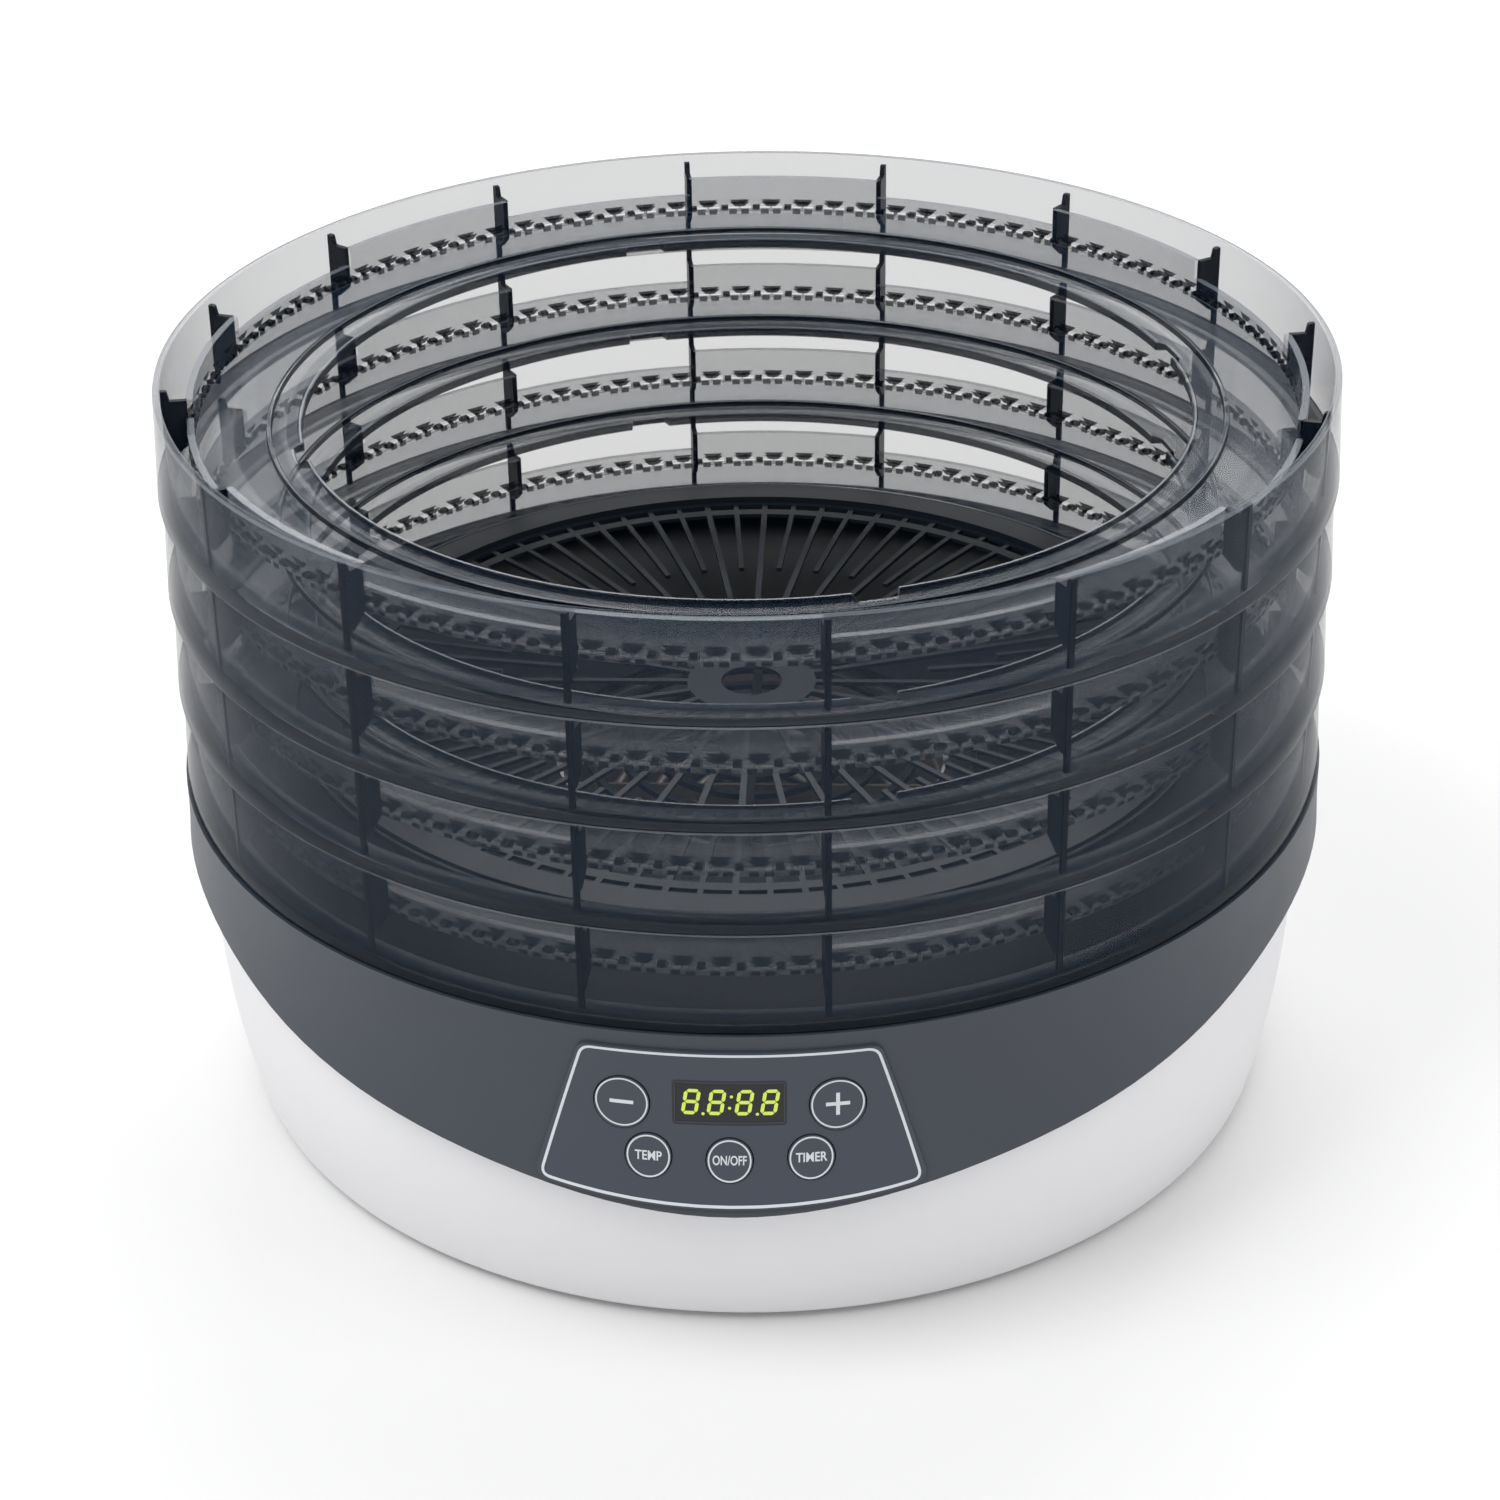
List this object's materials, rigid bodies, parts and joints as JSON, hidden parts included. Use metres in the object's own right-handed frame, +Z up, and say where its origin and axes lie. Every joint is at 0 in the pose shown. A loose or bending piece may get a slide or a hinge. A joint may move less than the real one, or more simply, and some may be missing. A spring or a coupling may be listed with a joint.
{
  "type": "food dehydrator",
  "caption": "Round food dehydrator: white base, dark collar with a digital keypad, stacked smoke-grey lift-off trays, grille rack, fan and heater inside.",
  "frame": {"origin": "point on the resting surface under the axis of the tray stack", "axes": "+Z up along the stack axis, the keypad faces -Y, +X to the keypad's right"},
  "size_m": [0.3348, 0.3444, 0.2212],
  "materials": {
    "white_plastic": "satin",
    "dark_plastic": "satin",
    "panel_film": "satin",
    "display_lens": "gloss",
    "key_plastic": "satin",
    "smoke_clear": "gloss",
    "rack_plastic": "satin",
    "black_plastic": "satin",
    "rubber": "matte",
    "steel": "satin",
    "aluminium_sheet": "satin",
    "board": "satin",
    "copper_iron": "satin",
    "cable": "satin",
    "mica": "satin",
    "heater_wire": "satin"
  },
  "bodies": {
    "base": {"lower_housing": "white_plastic", "collar": "dark_plastic", "inner_deck": "dark_plastic", "bottom_cover": "white_plastic", "feet": "rubber", "housing_screws": "steel", "cord_bush": "rubber", "control_panel": "panel_film", "display_window": "display_lens", "display_module": "black_plastic", "control_board": "board", "tact_switches": "black_plastic", "board_screws": "steel", "power_board": "board", "transformer": "copper_iron", "relay": "black_plastic", "ribbon_cable": "cable", "motor_body": "steel", "air_duct": "aluminium_sheet", "heater_frame": "mica", "heater_coil": "heater_wire", "thermal_cutout": "mica", "temperature_sensor": "steel", "outlet_grille": "dark_plastic"},
    "fan_rotor": {"motor_shaft": "steel", "fan": "black_plastic"},
    "key_minus": {"button_minus": "key_plastic"},
    "key_plus": {"button_plus": "key_plastic"},
    "key_temperature": {"button_temperature": "key_plastic"},
    "key_power": {"button_power": "key_plastic"},
    "key_timer": {"button_timer": "key_plastic"},
    "tray_4_body": {"tray_4": "smoke_clear"},
    "tray_3_body": {"tray_3": "smoke_clear"},
    "tray_2_body": {"tray_2": "smoke_clear"},
    "tray_1_body": {"tray_1": "smoke_clear"},
    "rack_body": {"rack": "rack_plastic"}
  },
  "joints": [
    {"name": "fan_spin", "type": "hinge", "parent": "base", "child": "fan_rotor", "pos_m": [0, 0, 0.05], "axis": [0, 0, 1], "continuous": true},
    {"name": "press_minus", "type": "slide", "parent": "base", "child": "key_minus", "axis": [0, 0.9744, -0.225], "range_m": [0, 0.0005], "stiffness_N_per_m": 800},
    {"name": "press_plus", "type": "slide", "parent": "base", "child": "key_plus", "axis": [0, 0.9744, -0.225], "range_m": [0, 0.0005], "stiffness_N_per_m": 800},
    {"name": "press_temperature", "type": "slide", "parent": "base", "child": "key_temperature", "axis": [0, 0.9744, -0.225], "range_m": [0, 0.0005], "stiffness_N_per_m": 800},
    {"name": "press_power", "type": "slide", "parent": "base", "child": "key_power", "axis": [0, 0.9744, -0.225], "range_m": [0, 0.0005], "stiffness_N_per_m": 800},
    {"name": "press_timer", "type": "slide", "parent": "base", "child": "key_timer", "axis": [0, 0.9744, -0.225], "range_m": [0, 0.0005], "stiffness_N_per_m": 800},
    {"name": "lift_tray_4", "type": "slide", "parent": "base", "child": "tray_4_body", "axis": [0, 0, 1], "range_m": [0, 0.09]},
    {"name": "lift_tray_3", "type": "slide", "parent": "tray_4_body", "child": "tray_3_body", "axis": [0, 0, 1], "range_m": [0, 0.09]},
    {"name": "lift_tray_2", "type": "slide", "parent": "tray_3_body", "child": "tray_2_body", "axis": [0, 0, 1], "range_m": [0, 0.09]},
    {"name": "lift_tray_1", "type": "slide", "parent": "tray_2_body", "child": "tray_1_body", "axis": [0, 0, 1], "range_m": [0, 0.09]},
    {"name": "lift_rack", "type": "slide", "parent": "tray_4_body", "child": "rack_body", "axis": [0, 0, 1], "range_m": [0, 0.015]}
  ]
}
